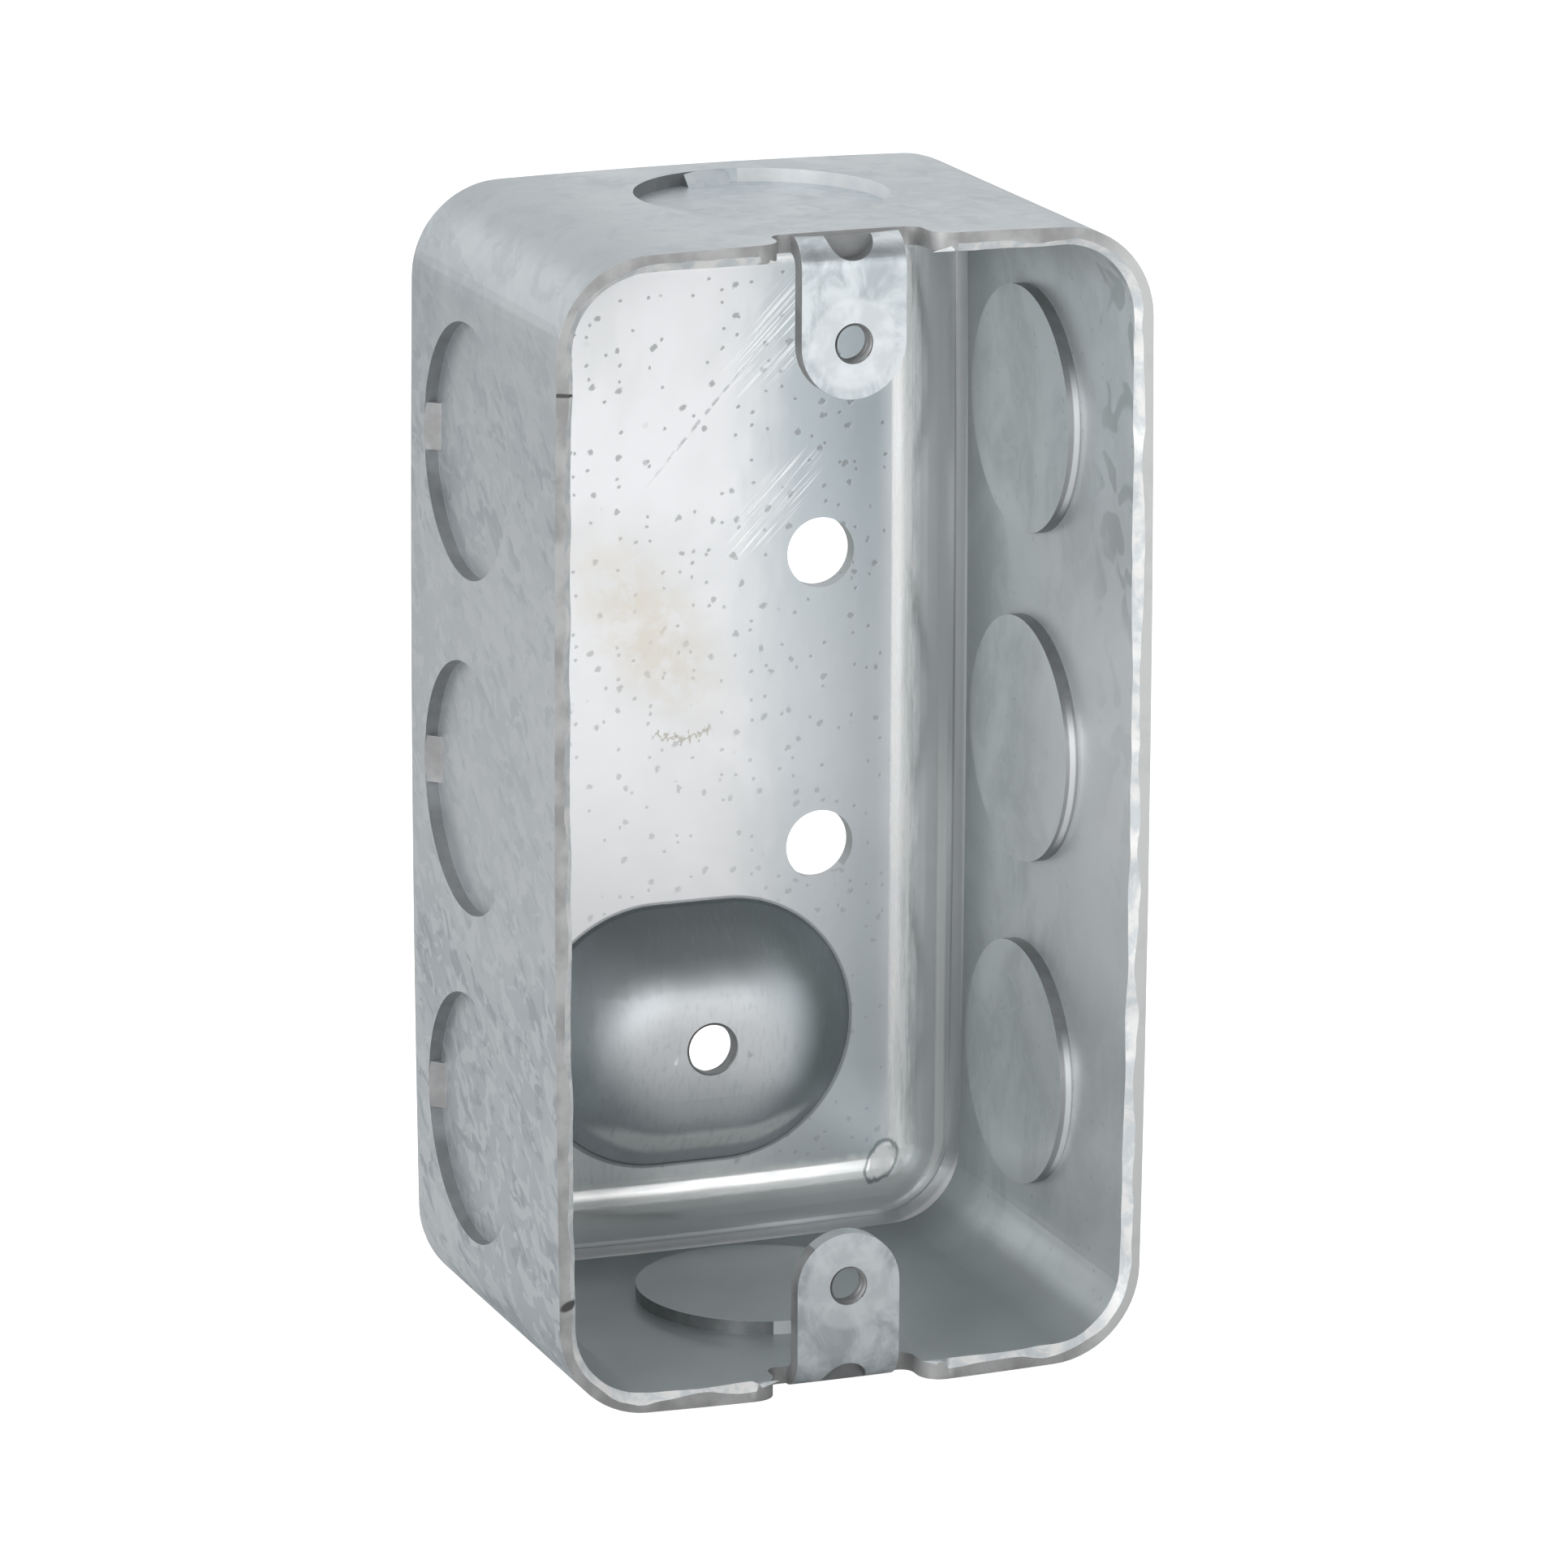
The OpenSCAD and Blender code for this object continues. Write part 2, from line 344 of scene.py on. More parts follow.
def cut_grid(bm):
    """Cuts the large flats into cells, so that they can bend."""
    for axis in range(3):
        count = int(2 * HALF[axis] / GRID)
        normal = Vector([axis == k for k in range(3)])
        for i in range(1, count):
            place = cad_low + (cad_high - cad_low) * i / count
            bmesh.ops.bisect_plane(
                bm, geom=bm.verts[:] + bm.edges[:] + bm.faces[:],
                dist=CELL_SNAP, plane_co=place, plane_no=normal,
            )
    bmesh.ops.remove_doubles(bm, verts=bm.verts, dist=WELD_CELLS)


def bow_walls(bm):
    """Walls are widest at the middle of each side, and the corners pull in."""
    for v in bm.verts:
        across = (v.co.x - MIDDLE.x) / HALF.x
        along = (v.co.z - MIDDLE.z) / HALF.z
        v.co.x -= SIDE_BOW * across * along * along
        v.co.z -= END_BOW * along * across * across


def roughen_rim(bm):
    """The burr's edges wander, and the rim is not quite flat."""
    long_edges = [
        e for e in bm.edges
        if all(v.co.y < RIM_Y + 1.05 * BURR_WIDTH for v in e.verts)
        and e.calc_length() > RIM_STEP
    ]
    bmesh.ops.subdivide_edges(bm, edges=long_edges, cuts=RIM_CUTS)
    for v in bm.verts:
        depth = v.co.y - RIM_Y
        if depth > 1.2 * BURR_WIDTH:
            continue
        inward = -outline_distance(v.co.x, v.co.z)
        wave = noise.noise(v.co / LONG_WAVE) + 0.4 * noise.noise(v.co / SHORT_WAVE)
        if abs(outward(v.co.x, v.co.z).z) > 0.9:
            wave *= min(1, max(0, abs(v.co.x) - CALM_BY_NOTCH) / (2 * MM))
        share = min(1, depth / BURR_WIDTH)
        if inward > SHEET - 1.2 * BURR_WIDTH:
            v.co += outward(v.co.x, v.co.z) * BURR_WANDER * wave * (1 - share)
            v.co.y += BURR_WANDER * wave * share
        v.co.y += RIM_WAVE * (1 + noise.noise(v.co / RIM_WAVE_LENGTH)) * (1 - share)


def mark_sharp_edges(bm):
    """Rounds don't bleed into the flats beside them, nor one flat into the next."""
    rounded = bm.faces.layers.int["rounded"]
    for edge in bm.edges:
        sides = {face[rounded] for face in edge.link_faces}
        sliver = min(face.calc_area() for face in edge.link_faces) < SLIVER
        edge.smooth = len(sides) < 2 and (sliver or edge.calc_face_angle(0) < SHARP_ANGLE)


def drawn_steel(node):
    """A copy of the solid, merged, rounded, cut into cells and bent."""
    bm = bmesh.new()
    bm.from_mesh(node.data)
    bm.faces.layers.int.new("rounded")
    bmesh.ops.remove_doubles(bm, verts=bm.verts, dist=WELD)
    for face in bm.faces:
        face.material_index = OUTSIDE
    bmesh.ops.dissolve_limit(
        bm, angle_limit=SAME_FLAT, verts=bm.verts, edges=bm.edges,
        use_dissolve_boundaries=False,
    )
    round_sharp_edges(bm)
    turn_burr(bm)
    mark_surfaces(bm)
    cut_grid(bm)
    press_bead(bm)
    flatten_dome(bm)
    bow_walls(bm)
    roughen_rim(bm)
    bmesh.ops.triangulate(bm, faces=bm.faces)
    mark_sharp_edges(bm)
    for face in bm.faces:
        face.smooth = True
    mesh = bpy.data.meshes.new("drawn_steel")
    bm.to_mesh(mesh)
    bm.free()
    piece = bpy.data.objects.new("drawn_steel", mesh)
    bpy.context.scene.collection.objects.link(piece)
    flats = piece.modifiers.new("flats_stay_flat", "WEIGHTED_NORMAL")
    flats.keep_sharp = True
    flats.weight = 90
    return piece


def tapped_thread(name, place, radius, length):
    """A thread inside a tapped hole along Y, its roots sunk in the sheet."""
    bm = bmesh.new()
    turns = length / THREAD_PITCH + 2
    root = radius + THREAD_SINK
    crest = radius - THREAD_CREST
    start = place + Vector((0, -length / 2 - THREAD_PITCH, 0))
    profile = (
        (root, 0.0), (radius, 0.12), (crest, 0.45), (crest, 0.55), (radius, 0.88), (root, 1.0),
    )
    verts = [bm.verts.new(start + Vector((r, share * THREAD_PITCH, 0))) for r, share in profile]
    edges = [bm.edges.new(pair) for pair in zip(verts, verts[1:])]
    bmesh.ops.spin(
        bm, geom=verts + edges, cent=start, axis=(0, 1, 0),
        dvec=(0, THREAD_PITCH / THREAD_STEPS, 0), angle=2 * math.pi * turns,
        steps=int(THREAD_STEPS * turns), use_duplicate=False,
    )
    bmesh.ops.remove_doubles(bm, verts=bm.verts, dist=0.002 * MM)
    for side in (-1, 1):
        bmesh.ops.bisect_plane(
            bm, geom=bm.verts[:] + bm.edges[:] + bm.faces[:], dist=0.001 * MM,
            plane_co=place + Vector((0, side * length / 2, 0)),
            plane_no=(0, side, 0), clear_outer=True,
        )
    mesh = bpy.data.meshes.new(name)
    bm.to_mesh(mesh)
    bm.free()
    mesh.shade_smooth()
    piece = bpy.data.objects.new(name, mesh)
    bpy.context.scene.collection.objects.link(piece)
    return piece


# In a pattern's size, in mm: no change along this axis.
FLAT = 1000
BUMP_HEIGHT = 0.08 * MM


class Nodes:
    """Short names for building a material's node tree. Sizes and places are in mm."""

    def __init__(self, name):
        self.material = bpy.data.materials.new(name)
        self.material.use_nodes = True
        self.tree = self.material.node_tree
        self.shader = self.tree.nodes["Principled BSDF"]
        self.coords = self.add("ShaderNodeTexCoord").outputs["Object"]

    def put(self, value, socket):
        """Sets a socket, or links another one to it."""
        if isinstance(value, bpy.types.NodeSocket):
            self.tree.links.new(value, socket)
        else:
            socket.default_value = value

    def add(self, kind, inputs=None, **settings):
        node = self.tree.nodes.new(kind)
        for key, value in settings.items():
            setattr(node, key, value)
        for key, value in (inputs or {}).items():
            self.put(value, node.inputs[key])
        return node

    def laid(self, size, turn=(0, 0, 0), place=(0, 0, 0)):
        """Coordinates in which a pattern has this size along turned axes."""
        return self.add("ShaderNodeMapping", {
            "Vector": self.coords, "Scale": [v * MM for v in size], "Rotation": turn,
            "Location": [v * MM for v in place],
        }, vector_type="TEXTURE").outputs[0]

    def parts(self, vector):
        return self.add("ShaderNodeSeparateXYZ", {0: vector}).outputs

    def vector_math(self, kind, a, b=(0, 0, 0)):
        return self.add("ShaderNodeVectorMath", {0: a, 1: b}, operation=kind).outputs

    def past(self, middle, half):
        """Distance outside a box about a middle, on the X and Z axes."""
        off = self.vector_math("SUBTRACT", self.coords, middle)["Vector"]
        off = self.vector_math("MULTIPLY", off, (1, 0, 1))["Vector"]
        off = self.vector_math("ABSOLUTE", off)["Vector"]
        off = self.vector_math("SUBTRACT", off, half)["Vector"]
        off = self.vector_math("MAXIMUM", off)["Vector"]
        return self.vector_math("LENGTH", off)["Value"]

    def grain(self, size, detail=3, rough=0.55, twist=0.0, turn=(0, 0, 0), place=(0, 0, 0)):
        """Noise with patches of this size."""
        return self.add("ShaderNodeTexNoise", {
            "Vector": self.laid(size, turn, place), "Scale": 1, "Detail": detail,
            "Roughness": rough, "Distortion": twist,
        }).outputs["Fac"]

    def spot(self, x, z, half_x, half_z, turn):
        """Distance from a place seen from the front: one at the edge of an oval."""
        laid = self.laid((half_x, FLAT, half_z), (0, math.radians(turn), 0), (x, 0, z))
        return self.vector_math("LENGTH", laid)["Value"]

    def steps(self, value, low, high, out_low=0.0, out_high=1.0):
        """A smooth rise from one value to another between two limits."""
        return self.add("ShaderNodeMapRange", {
            "Value": value, "From Min": low, "From Max": high,
            "To Min": out_low, "To Max": out_high,
        }, interpolation_type="SMOOTHSTEP").outputs[0]

    def over(self, length, low, high, out_low=0.0, out_high=1.0):
        """The same rise, for a length that has its limits in mm."""
        return self.steps(length, low * MM, high * MM, out_low, out_high)

    def between(self, value, low, high, soft):
        """One between two limits, falling softly to nought outside them."""
        return self.times(self.steps(value, low - soft, low),
                          self.steps(value, high + soft, high))

    def band(self, length, low, high, soft):
        """The same, for a length that has its limits in mm."""
        return self.between(length, low * MM, high * MM, soft * MM)

    def calc(self, kind, first, *rest):
        if not rest:
            return self.add("ShaderNodeMath", {0: first}, operation=kind).outputs[0]
        for value in rest:
            first = self.add("ShaderNodeMath", {0: first, 1: value}, operation=kind).outputs[0]
        return first

    def times(self, *values):
        return self.calc("MULTIPLY", *values)

    def plus(self, *values):
        return self.calc("ADD", *values)

    def less(self, *values):
        return self.calc("SUBTRACT", *values)

    def most(self, *values):
        return self.calc("MAXIMUM", *values)

    def blend(self, share, colour, other):
        """The colour with this share of the other laid over it."""
        node = self.add("ShaderNodeMix", data_type="RGBA", blend_type="MIX")
        for key, value in ((0, share), (6, colour), (7, other)):
            self.put(value, node.inputs[key])
        return node.outputs[2]

    def finish(self, colour, metallic, roughness):
        inputs = {"Base Color": colour, "Metallic": metallic, "Roughness": roughness}
        for key, value in inputs.items():
            self.put(value, self.shader.inputs[key])
        return self.material

    def bump(self, height, strength):
        node = self.add("ShaderNodeBump", {
            "Height": height, "Strength": strength, "Distance": BUMP_HEIGHT,
        })
        self.put(node.outputs[0], self.shader.inputs["Normal"])


ZINC_WHITE = (0.95, 0.96, 0.97, 1)
ZINC_PALE = (0.825, 0.865, 0.888, 1)
ZINC_LIGHT = (0.735, 0.785, 0.816, 1)
ZINC_MID = (0.63, 0.688, 0.725, 1)
ZINC_DARK = (0.485, 0.538, 0.568, 1)
PANEL_WHITE = (0.82, 0.83, 0.85, 1)
PANEL_LIGHT = (0.74, 0.755, 0.77, 1)
WALL_LIGHT = (0.72, 0.77, 0.775, 1)
WALL_DARK = (0.57, 0.62, 0.625, 1)
WALL_PITS_AND_SHADE = (0.42, 0.465, 0.47, 1)
FLANK_SHADE_GREY = (0.30, 0.33, 0.34, 1)
CREASE_DIRT_AND_SHADE_GREY = (0.22, 0.245, 0.255, 1)
BURR_AND_HIGHLIGHT_WHITE = (0.99, 0.99, 0.98, 1)
PIT_GREY = (0.28, 0.29, 0.295, 1)
TAN_STAIN = (0.70, 0.655, 0.575, 1)
OLIVE_STAIN = (0.42, 0.39, 0.31, 1)
EDGE_DARK_AND_SHADE = (0.19, 0.20, 0.205, 1)
EDGE_GREY = (0.34, 0.35, 0.36, 1)
EDGE_PAINTED_LIGHT = (0.60, 0.61, 0.62, 1)
CUT_DARK = (0.10, 0.10, 0.10, 1)
CUT_GREY = (0.36, 0.36, 0.365, 1)
CUT_LIGHT = (0.68, 0.69, 0.69, 1)


def cloudy(m, dark, light, size):
    """The slow change of tone of a dipped sheet."""
    cloud = m.grain((size, size, 1.2 * size), 4, 0.6, 0.5)
    return m.blend(m.steps(cloud, 0.38, 0.62), dark, light)


def pits(m, size, radius, share, place):
    """Small dark pits of ragged outline, in this share of the cells of this size."""
    wander = m.grain((0.5, 0.5, 0.5))
    x, y, z = m.parts(m.laid((size, size, size), place=place))
    spot = m.add("ShaderNodeCombineXYZ", {
        0: m.plus(x, y, m.times(wander, 0.3)),
        1: m.plus(z, m.times(wander, 0.25)),
    }).outputs[0]
    cell = m.add("ShaderNodeTexVoronoi", {"Vector": spot, "Scale": 1.0},
                 voronoi_dimensions="2D").outputs
    chosen = m.steps(m.parts(cell["Color"])[0], 1 - share - 0.02, 1 - share + 0.02)
    return m.times(m.steps(cell["Distance"], radius, 0.5 * radius), chosen)


def outer_sheet():
    """Hot-dipped sheet: soft steep mottles where the drawing stretched the zinc, and a band of
    painted light at mid height.
    """
    m = Nodes("outer_sheet")
    x, _, z = m.parts(m.coords)
    colour = cloudy(m, ZINC_MID, ZINC_LIGHT, 20)
    amount = m.over(z, 100, 65, 0.25, 0.75)
    streak = m.grain((3, 5.5, 2.2), twist=0.7, turn=STREAK_TURN)
    colour = m.blend(m.times(m.steps(streak, 0.52, 0.62), amount), colour, ZINC_DARK)
    light = m.grain((2.4, 2.6, 1.5), 2, 0.5, 0.8, STREAK_TURN, (20, 0, 0))
    colour = m.blend(m.times(m.steps(light, 0.50, 0.58), amount), colour, ZINC_PALE)
    corner = m.times(m.over(x, -10, -22, 0, 0.6), m.over(z, 98.5, 100.5))
    colour = m.blend(corner, colour, ZINC_DARK)
    # Painted light: a paler band at mid height.
    colour = m.blend(m.times(m.band(z, 45, 68, 12), 0.5), colour, ZINC_PALE)
    m.bump(m.grain((1.6, 1.6, 1.6)), 0.10)
    return m.finish(colour, 0.8, m.steps(streak, 0.3, 0.7, 0.32, 0.42))


def inner_wall():
    """The inside of the walls, rubbed smooth by the punch: cloudy and a little greenish, with
    painted light towards the open front and painted shade low down and deep inside.
    """
    m = Nodes("inner_wall")
    _, y, z = m.parts(m.coords)
    colour = cloudy(m, WALL_DARK, WALL_LIGHT, 11)
    blot = m.grain((3, 4, 5), 3, 0.6, 1.5)
    colour = m.blend(m.steps(blot, 0.48, 0.60, 0, 0.35), colour, WALL_LIGHT)
    # Painted light: paler towards the open front.
    colour = m.blend(m.over(y, 6, -14, 0, 0.4), colour, ZINC_PALE)
    high_by_rim = m.times(m.over(y, -9, -16), m.over(z, 30, 60))
    patch = m.grain((3, 3.5, 3.5), 1, 0.5, 0.6, place=(0, 13, 4))
    colour = m.blend(m.times(m.steps(patch, 0.54, 0.62, 0, 0.6), high_by_rim), colour, WALL_PITS_AND_SHADE)
    colour = m.blend(m.times(pits(m, 2.2, 0.10, 0.25, (0, 0, 0)), 0.4), colour, WALL_PITS_AND_SHADE)
    # Painted light: paler at mid height near the front.
    painted_light_waist = m.times(m.band(z, 36, 62, 10), m.over(y, 4, -14, 0, 0.6))
    colour = m.blend(painted_light_waist, colour, ZINC_WHITE)
    # Painted shade: darker on the bottom wall inside.
    colour = m.blend(m.over(z, 4.5, 3, 0, 0.8), colour, WALL_PITS_AND_SHADE)
    # Painted shade: darker deep in the box, by the back.
    colour = m.blend(m.over(y, 9, 15, 0, 0.5), colour, WALL_PITS_AND_SHADE)
    m.bump(m.grain((2.5, 2.5, 2.5)), 0.12)
    return m.finish(colour, 0.5, 0.38)


def folded_ear():
    """The ears' faces are nearly white, with a painted highlight in a paler ring round each hole.
    """
    m = Nodes("folded_ear")
    x, _, z = m.parts(m.coords)
    colour = cloudy(m, ZINC_DARK, ZINC_LIGHT, 3.2)
    from_middle = m.calc("ABSOLUTE", m.less(z, MIDDLE.z))
    up = m.less(from_middle, EAR_HOLE_SPACING / 2)
    around = m.calc("SQRT", m.plus(m.times(x, x), m.times(up, up)))
    # Painted highlight: a paler ring round each hole.
    colour = m.blend(m.times(m.over(around, 4.2, 3.6), 0.5), colour, ZINC_PALE)
    m.bump(m.grain((1.4, 1.4, 1.4)), 0.15)
    return m.finish(colour, 0.7, 0.34)


class BackPlaces:
    """Masks for the parts of the pressed back: panel, bead, roll and dome."""

    def __init__(self, m):
        self.x, self.y, self.z = m.parts(m.coords)
        self.ragged = m.less(m.grain((1.2, 1.2, 4)), 0.5)
        self.roll = m.past(MIDDLE, (HALF.x - ROLL_FROM_WALL, 0, HALF.z - ROLL_FROM_WALL))
        over_x = m.less(m.calc("ABSOLUTE", self.x), HALF.x - ROLL_FROM_WALL)
        over_z = m.calc("ABSOLUTE", m.less(self.z, MIDDLE.z))
        over_z = m.less(over_z, HALF.z - ROLL_FROM_WALL)
        self.on_side = m.over(m.less(over_x, over_z), -1.5, 1.5)
        self.at_end = m.less(1.0, self.on_side)
        self.flat = m.steps(self.y, PANEL_Y - 0.3 * MM, PANEL_Y - 0.05 * MM)
        self.on_panel = m.times(self.flat, m.over(self.roll, 0.6, 0))
        self.on_dome = m.times(m.less(1.0, self.flat), m.over(self.roll, 0.3, 0))
        self.dome = m.past(DOME_MIDDLE, (DOME_STRAIGHT / 2, 0, 0))
        self.from_dome = m.parts(m.vector_math("SUBTRACT", m.coords, DOME_MIDDLE)["Vector"])
        self.to_press_mark = m.plus(m.spot(*PRESS_MARK), self.ragged)
        self.to_small_mark = m.plus(m.spot(*SMALL_PRESS_MARK), self.ragged)


def panel_tone(m, back):
    """The panel's painted light: paler on the left and low down, with painted shade right of the
    middle.
    """
    colour = cloudy(m, PANEL_LIGHT, PANEL_WHITE, 20)
    # Painted shade: the panel darker right of the middle.
    painted_shade_right = m.over(m.plus(back.x, m.times(back.ragged, 4 * MM)), 1.5, 9.5)
    painted_shade_right = m.times(painted_shade_right, m.over(back.x, 18.5, 16), back.flat, m.over(back.z, 50, 78, 0.55, 0.95))
    colour = m.blend(painted_shade_right, colour, ZINC_DARK)
    # Painted light: the panel paler low down, left of the middle.
    lower = m.times(m.over(back.z, 62, 38), m.over(back.x, 7, -2), back.on_panel, 0.5)
    return m.blend(lower, colour, ZINC_WHITE)


def dome_tone(m, back, colour):
    """The dome's tones: a little darker overall, painted shade on its upper and right flanks, a
    painted highlight on its pale cap, and a painted sheen below the cap.
    """
    turned = m.plus(m.times(back.from_dome[0], 0.8), back.from_dome[2])
    # Painted shade on the upper and right flanks.
    flank_shade = m.times(m.over(back.dome, 4, 8.5), back.on_dome, m.over(turned, -5, 6))
    # Painted highlight: the pale cap.
    cap = m.past(DOME_MIDDLE - Vector((0, 0, 1.5 * MM)), (1.5 * MM, 0, 0))
    cap = m.times(m.over(cap, 8.5, 3.5), back.on_dome)
    # Painted sheen below the cap.
    sheen = m.times(m.band(back.dome, 8.6, 9.8, 0.9), m.over(back.from_dome[2], -6.5, -8),
                    back.on_dome)
    # Darker over the whole dome: painted shade that tones down its reflection.
    colour = m.blend(m.times(back.on_dome, 0.5), colour, ZINC_MID)
    colour = m.blend(m.times(cap, 0.6), colour, ZINC_WHITE)
    colour = m.blend(m.times(flank_shade, 0.85), colour, FLANK_SHADE_GREY)
    colour = m.blend(m.times(sheen, 0.6), colour, BURR_AND_HIGHLIGHT_WHITE)
    crinkle = m.steps(m.grain((0.4, FLAT, 1.5), 3, 0.6, 0.4), 0.5, 0.68, 0, 0.25)
    crinkle = m.times(crinkle, m.most(back.on_dome, m.over(back.z, 13, 10)))
    return m.blend(crinkle, colour, ZINC_DARK), cap, sheen


def pits_and_scratches(m, back, colour):
    """Pits, thicker towards the top, a long broken scratch, and fine brushed lines."""
    pit = m.most(pits(m, 1.4, 0.15, 0.28, (0, 0, 0)), pits(m, 2.7, 0.13, 0.45, (1.3, 0, 0.7)))
    pit = m.times(pit, back.on_panel, m.over(back.z, 30, 85, 0.4, 1.0))
    colour = m.blend(m.times(pit, 0.7), colour, PIT_GREY)
    broken = m.steps(m.grain((0.9, FLAT, 0.9)), 0.42, 0.58)
    scratch = m.times(m.steps(m.spot(*SCRATCH), 1.0, 0.4), broken)
    colour = m.blend(m.times(scratch, 0.55), colour, PIT_GREY)
    brushed = m.most(m.steps(m.spot(*BRUSHED_BY_HOLE), 1.0, 0.6),
                     m.steps(m.spot(*BRUSHED_BY_EAR), 1.0, 0.5))
    hair = m.grain((9, 4, 0.16), 1, 0.4, turn=SCRATCH_TURN)
    hair = m.times(m.steps(hair, 0.52, 0.66), brushed, back.on_panel)
    colour = m.blend(m.times(hair, 0.75), colour, ZINC_WHITE)
    return colour, m.most(pit, scratch, m.times(hair, 0.5))


def roll_tone(m, back, colour):
    """Painted highlights on the bead's lines and the roll, press marks painted bright, and dirt
    and painted shade in the creases round roll and dome and round the press marks.
    """
    edge = m.plus(back.roll, m.times(back.ragged, 1.3 * MM))
    # Painted highlights: bright lines along the bead on the sides, and a line at the roll's foot.
    streaks = m.grain((0.7, FLAT, 9), 3, 0.6)
    lines = m.times(m.band(edge, 0.6, 2.0, 0.9), m.steps(streaks, 0.40, 0.58, 0.35, 1.0))
    foot_highlight = m.times(m.band(back.roll, 5.3, 6.1, 0.4), m.over(back.z, 55, 38))
    lines = m.times(m.most(lines, foot_highlight), back.on_side, m.over(back.roll, 0, 0.2))
    # Painted highlight along the bead at the ends.
    streaks = m.grain((9, FLAT, 0.7), 3, 0.6)
    end_highlight = m.times(m.band(edge, 1.0, 2.9, 0.9), back.at_end,
                       m.steps(streaks, 0.40, 0.58, 0.45, 1.0))
    # Press marks: flattened spots, painted bright as a highlight.
    pressed = m.most(m.steps(back.to_press_mark, 1.05, 0.8),
                     m.steps(back.to_small_mark, 1.1, 0.5))
    # Painted light: the roll paler than the panel.
    rolled = m.times(m.over(back.roll, 1.5, 3.5), 0.8)
    colour = m.blend(rolled, colour, ZINC_WHITE)
    colour = m.blend(m.times(m.most(lines, end_highlight, pressed), 0.9), colour, BURR_AND_HIGHLIGHT_WHITE)
    # Dirt and painted shade where the roll meets the wall.
    crease_dirt_and_shade = m.most(m.band(back.roll, 7.2, 7.8, 0.4), m.over(back.roll, 7.2, 7.6, 0, 0.5))
    crease_dirt_and_shade = m.times(crease_dirt_and_shade, m.steps(back.y, PANEL_Y, PANEL_Y + 1 * MM, 0, 0.75))
    # Painted shade: a dark line round the dome's foot.
    foot_shade = m.between(back.dome, DOME_FOOT_R - 0.15 * MM, DOME_FOOT_R + 0.12 * MM, 0.2 * MM)
    foot_shade = m.times(foot_shade, m.steps(back.y, PANEL_Y + 0.3 * MM, PANEL_Y + 0.1 * MM), 0.9)
    # Painted shade: a dark outline round the press marks.
    outline = m.times(m.between(back.to_press_mark, 1.1, 1.2, 0.12), 0.9)
    colour = m.blend(m.times(m.most(crease_dirt_and_shade, outline, foot_shade), 0.8), colour, CREASE_DIRT_AND_SHADE_GREY)
    return colour, m.most(m.times(lines, 0.4), m.times(pressed, 0.7)), rolled


def stains(m, back, colour):
    """A tan stain, and an olive mark below it that sags like a smile."""
    cloud = m.steps(m.grain((2.2, FLAT, 2.2), 4, 0.7), 0.35, 0.6, 0.35, 1.0)
    stain = m.times(m.steps(m.spot(*TAN_PATCH), 1.2, 0.1), cloud, back.on_panel)
    colour = m.blend(m.times(stain, 0.75), colour, TAN_STAIN)
    along = m.less(back.x, OLIVE_MIDDLE.x)
    sag = m.less(back.z, OLIVE_MIDDLE.z, m.times(along, along, OLIVE_BEND))
    wiggle = m.less(m.grain((0.45, FLAT, 0.9)), 0.5)
    sag = m.plus(sag, m.times(wiggle, 3.2 * MM))
    mark = m.times(m.band(sag, -0.12, 0.12, 0.14),
                   m.band(along, -OLIVE_HALF_WIDTH, OLIVE_HALF_WIDTH, 0.4), back.on_panel)
    return m.blend(m.times(mark, 0.65), colour, OLIVE_STAIN)


def pressed_back():
    """The pressed back of the box: bright panel, bead, rolled shoulder, creases and dome, with
    painted light and shade on them.
    """
    m = Nodes("pressed_back")
    back = BackPlaces(m)
    colour, cap, sheen = dome_tone(m, back, panel_tone(m, back))
    colour, marks = pits_and_scratches(m, back, colour)
    colour, dull, rolled = roll_tone(m, back, colour)
    colour = stains(m, back, colour)
    dent = m.steps(back.to_press_mark, 1.2, 0.2, 0, 12)
    m.bump(m.plus(m.grain((1.6, 1.6, 1.6)), m.times(marks, -1.2), dent), 0.10)
    metallic = m.less(0.85, m.most(dull, m.times(sheen, 0.5)), m.times(cap, 0.35),
                      m.times(rolled, 0.25))
    return m.finish(colour, metallic, m.plus(0.27, m.times(back.on_dome, 0.16)))


def torn_spots(m):
    """A crack high on the left rim, and a torn nick near its lower end."""
    return m.most(m.steps(m.spot(*RIM_CRACK), 1.0, 0.6), m.steps(m.spot(*RIM_NICK), 1.0, 0.6))


def bright_burr():
    """Zinc smeared bright by the die along the rim's inner edge, painted brighter still as a
    highlight.
    """
    m = Nodes("bright_burr")
    colour = cloudy(m, ZINC_LIGHT, BURR_AND_HIGHLIGHT_WHITE, 2)
    return m.finish(m.blend(torn_spots(m), colour, CUT_DARK), 0.2, 0.45)


def cut_steel():
    """Cut steel with a thin smear of zinc: darker and rougher than the sheet."""
    m = Nodes("cut_steel")
    x = m.parts(m.coords)[0]
    patch = m.grain((3.5, 3.5, 3.5), 4)
    smeared = m.plus(m.steps(patch, 0.35, 0.65, 0, 0.5), m.over(x, 20, 25, 0, 0.9))
    colour = m.blend(smeared, CUT_GREY, CUT_LIGHT)
    return m.finish(m.blend(torn_spots(m), colour, CUT_DARK), 0.6, 0.5)


def sheared_edge(name, dark, light, metallic):
    """The narrow sheared face round a knock-out: a dark copy, sheared steel in painted shade, and
    a light copy that is a painted highlight.
    """
    m = Nodes(name)
    return m.finish(m.blend(m.grain((1.5, 1.5, 1.5)), dark, light), metallic, 0.4)


